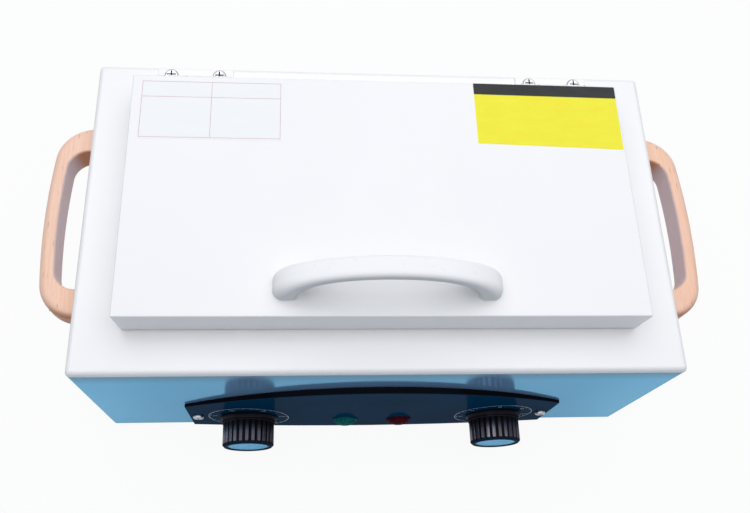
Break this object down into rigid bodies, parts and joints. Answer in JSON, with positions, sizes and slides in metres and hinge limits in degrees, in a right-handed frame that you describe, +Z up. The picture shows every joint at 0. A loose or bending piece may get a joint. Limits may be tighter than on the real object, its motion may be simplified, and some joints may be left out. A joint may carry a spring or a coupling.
{
  "type": "dry heat sterilizer",
  "caption": "Bench dry heat sterilizer with a heated tank, a hinged lid with a bow handle, wooden side grips and an arched control panel with knobs and lamps.",
  "frame": {"origin": "on the bench under the centre of the whole outline, knobs, grips and mains inlet included", "axes": "+X to the right seen from the front, +Y to the back, +Z up; the controls face -Y"},
  "size_m": [0.397, 0.2238, 0.1904],
  "materials": {
    "white_enamel": "satin",
    "blue_enamel": "gloss",
    "navy_panel": "gloss",
    "zinc_screw": "satin",
    "steel": "brushed",
    "stainless": "brushed",
    "galvanized": "matte",
    "brass": "satin",
    "black_rubber": "matte",
    "silicone": "matte",
    "navy_knob": "satin",
    "blue_disc": "satin",
    "black_plastic": "satin",
    "cream_plastic": "satin",
    "white_plastic": "gloss",
    "green_lens": "gloss",
    "red_lens": "gloss",
    "ceramic": "satin",
    "copper": "satin",
    "wire_jacket": "satin",
    "mineral_wool": "matte",
    "beech": "satin"
  },
  "bodies": {
    "cabinet": {"cabinet_shell": "white_enamel", "front_fascia": "blue_enamel", "rear_panel": "white_enamel", "rear_panel_screws": "zinc_screw", "base_plate": "galvanized", "base_screws": "zinc_screw", "rubber_feet": "black_rubber", "foot_screws": "zinc_screw", "control_panel": "navy_panel", "control_panel_screws": "zinc_screw", "control_nuts": "brass", "thermostat_body": "cream_plastic", "thermostat_bulb": "copper", "thermostat_capillary": "copper", "timer_body": "steel", "green_lamp_lens": "green_lens", "green_lamp_body": "black_plastic", "red_lamp_lens": "red_lens", "red_lamp_body": "black_plastic", "tank": "stainless", "tank_flange_screws": "stainless", "heater_element": "steel", "heater_clamps": "steel", "heater_terminals": "ceramic", "insulation_wrap": "mineral_wool", "heat_shield": "galvanized", "thermal_fuse": "steel", "power_inlet": "black_plastic", "inlet_screws": "zinc_screw", "terminal_block": "ceramic", "terminal_block_screws": "brass", "earth_stud": "brass", "wiring": "wire_jacket", "left_wood_grip": "beech", "right_wood_grip": "beech", "grip_screws": "zinc_screw", "hinge_left_fixed_leaf": "steel", "hinge_right_fixed_leaf": "steel", "hinge_pins": "steel", "hinge_screws": "zinc_screw"},
    "lid": {"lid_shell": "white_enamel", "lid_inner_pan": "stainless", "lid_pan_screws": "zinc_screw", "lid_insulation": "mineral_wool", "lid_gasket": "silicone", "lid_handle": "white_plastic", "lid_handle_screws": "zinc_screw", "hinge_left_moving_leaf": "steel", "hinge_right_moving_leaf": "steel", "hinge_rivets": "steel"},
    "temperature_control": {"temperature_knob": "navy_knob", "temperature_knob_cap": "blue_disc", "thermostat_shaft": "steel"},
    "timer_control": {"timer_knob": "navy_knob", "timer_knob_cap": "blue_disc", "timer_shaft": "steel"}
  },
  "joints": [
    {"name": "lid_hinge", "type": "hinge", "parent": "cabinet", "child": "lid", "pos_m": [0, 0.0906, 0.146], "axis": [-1, 0, 0], "range_deg": [0, 100]},
    {"name": "temperature_turn", "type": "hinge", "parent": "cabinet", "child": "temperature_control", "pos_m": [-0.0804, -0.0927, 0.0375], "axis": [0, 1, 0], "range_deg": [0, 270]},
    {"name": "timer_turn", "type": "hinge", "parent": "cabinet", "child": "timer_control", "pos_m": [0.0804, -0.0927, 0.0375], "axis": [0, 1, 0], "range_deg": [0, 300]}
  ]
}
